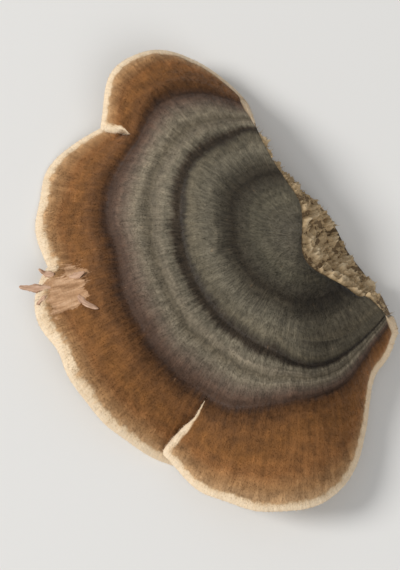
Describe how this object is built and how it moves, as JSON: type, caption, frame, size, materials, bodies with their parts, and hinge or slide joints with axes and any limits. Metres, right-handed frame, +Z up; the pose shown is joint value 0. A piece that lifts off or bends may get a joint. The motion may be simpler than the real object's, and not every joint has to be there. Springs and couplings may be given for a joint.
{
  "type": "dried turkey tail mushroom",
  "caption": "Small dried bracket mushroom: a thin, arched, lobed fan with concentric zones in relief and the thick scar where it broke off the wood.",
  "frame": {"origin": "centre of the bounding box in plan, on the surface that the bracket lies on", "axes": "+Z up, the pale underside down; +X along the fan's width; the growing margin faces -Y and the broken base faces +Y"},
  "size_m": [0.0324, 0.021, 0.0059],
  "materials": {
    "dried_flesh": "dry and velvety on top, with concentric olive-grey, dark brown and rust zones, a cream margin and a matt tan underside"
  },
  "bodies": {
    "root": {"turkey_tail_bracket": "dried_flesh"}
  },
  "joints": []
}
